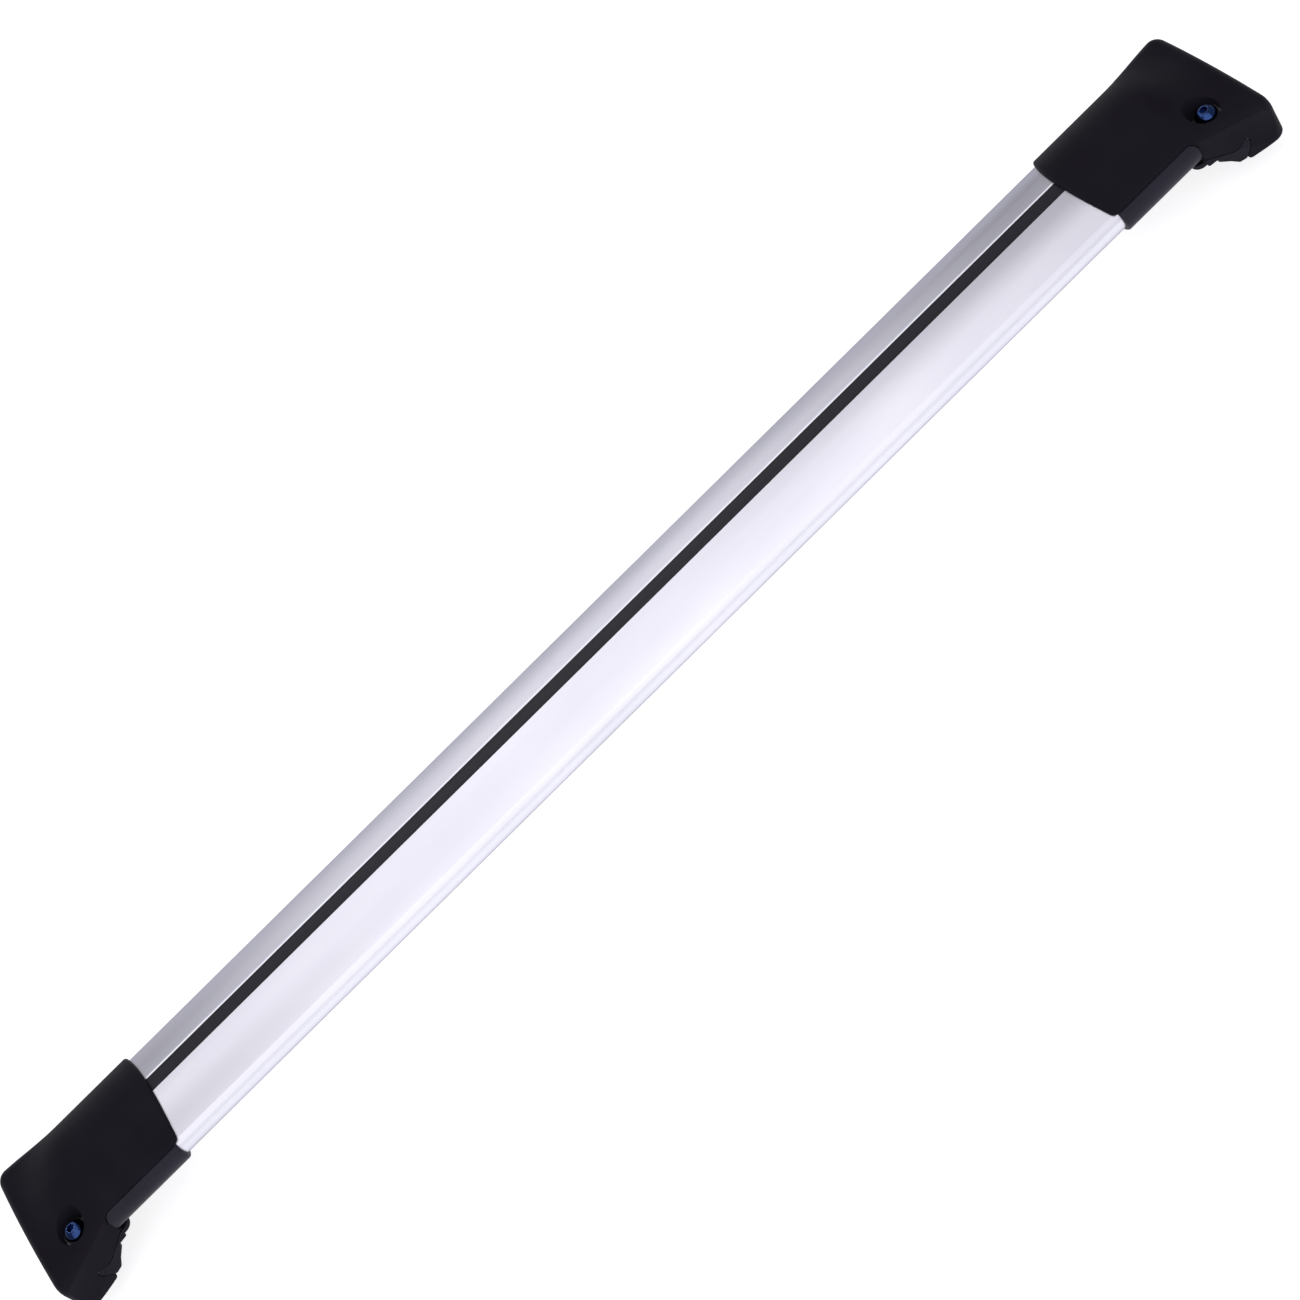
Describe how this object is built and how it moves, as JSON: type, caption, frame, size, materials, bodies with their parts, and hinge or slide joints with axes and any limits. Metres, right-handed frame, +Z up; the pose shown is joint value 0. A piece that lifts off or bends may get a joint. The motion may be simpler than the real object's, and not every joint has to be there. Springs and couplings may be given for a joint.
{
  "type": "roof rack crossbar",
  "caption": "Wing-shaped aluminium roof rack crossbar with a rubber strip in its top slot and flared black feet, whose clamp bolts draw hooked jaws up under a roof rail.",
  "frame": {"origin": "middle of the bar's length and width, on the ground that the clamp jaws stand on", "axes": "+X along the bar to the foot at the picture's top right, +Y to the rear, +Z up"},
  "size_m": [0.976, 0.1078, 0.0528],
  "materials": {
    "anodised_aluminium": "satin anodised",
    "strip_rubber": "matt",
    "cover_plastic": "fine matt grain",
    "cast_aluminium": "as cast",
    "pad_rubber": "matt",
    "black_casting": "black powder coat",
    "blue_zinc_steel": "glossy blue zinc",
    "black_steel": "black oxide",
    "zinc_steel": "bright zinc"
  },
  "bodies": {
    "crossbar": {"crossbar_extrusion": "anodised_aluminium", "slot_strip": "strip_rubber", "left_top_cover": "cover_plastic", "left_lower_cover": "cover_plastic", "left_foot_bracket": "cast_aluminium", "left_rail_pad": "pad_rubber", "left_bolt_washer": "black_steel", "left_guide_pin": "zinc_steel", "left_bracket_screws": "zinc_steel", "left_cover_screws": "zinc_steel", "right_top_cover": "cover_plastic", "right_lower_cover": "cover_plastic", "right_foot_bracket": "cast_aluminium", "right_rail_pad": "pad_rubber", "right_bolt_washer": "black_steel", "right_guide_pin": "zinc_steel", "right_bracket_screws": "zinc_steel", "right_cover_screws": "zinc_steel"},
    "left_jaw": {"left_clamp_jaw": "black_casting", "left_jaw_pad": "pad_rubber", "left_jaw_nut": "zinc_steel"},
    "left_bolt": {"left_clamp_bolt": "blue_zinc_steel"},
    "right_jaw": {"right_clamp_jaw": "black_casting", "right_jaw_pad": "pad_rubber", "right_jaw_nut": "zinc_steel"},
    "right_bolt": {"right_clamp_bolt": "blue_zinc_steel"}
  },
  "joints": [
    {"name": "left_bolt_turn", "type": "hinge", "parent": "crossbar", "child": "left_bolt", "pos_m": [-0.458, -0.0295, 0.03695], "axis": [0, 0, 1], "range_deg": [0, 2881]},
    {"name": "left_jaw_slide", "type": "slide", "parent": "crossbar", "child": "left_jaw", "axis": [0, 0, -1], "range_m": [0, 0.01]},
    {"name": "right_bolt_turn", "type": "hinge", "parent": "crossbar", "child": "right_bolt", "pos_m": [0.458, -0.0295, 0.03695], "axis": [0, 0, 1], "range_deg": [0, 2881]},
    {"name": "right_jaw_slide", "type": "slide", "parent": "crossbar", "child": "right_jaw", "axis": [0, 0, -1], "range_m": [0, 0.01]}
  ],
  "couplings": [
    {"joint": "left_bolt_turn", "follows": "left_jaw_slide", "rad_per_m": 5026.5},
    {"joint": "right_bolt_turn", "follows": "right_jaw_slide", "rad_per_m": 5026.5}
  ]
}
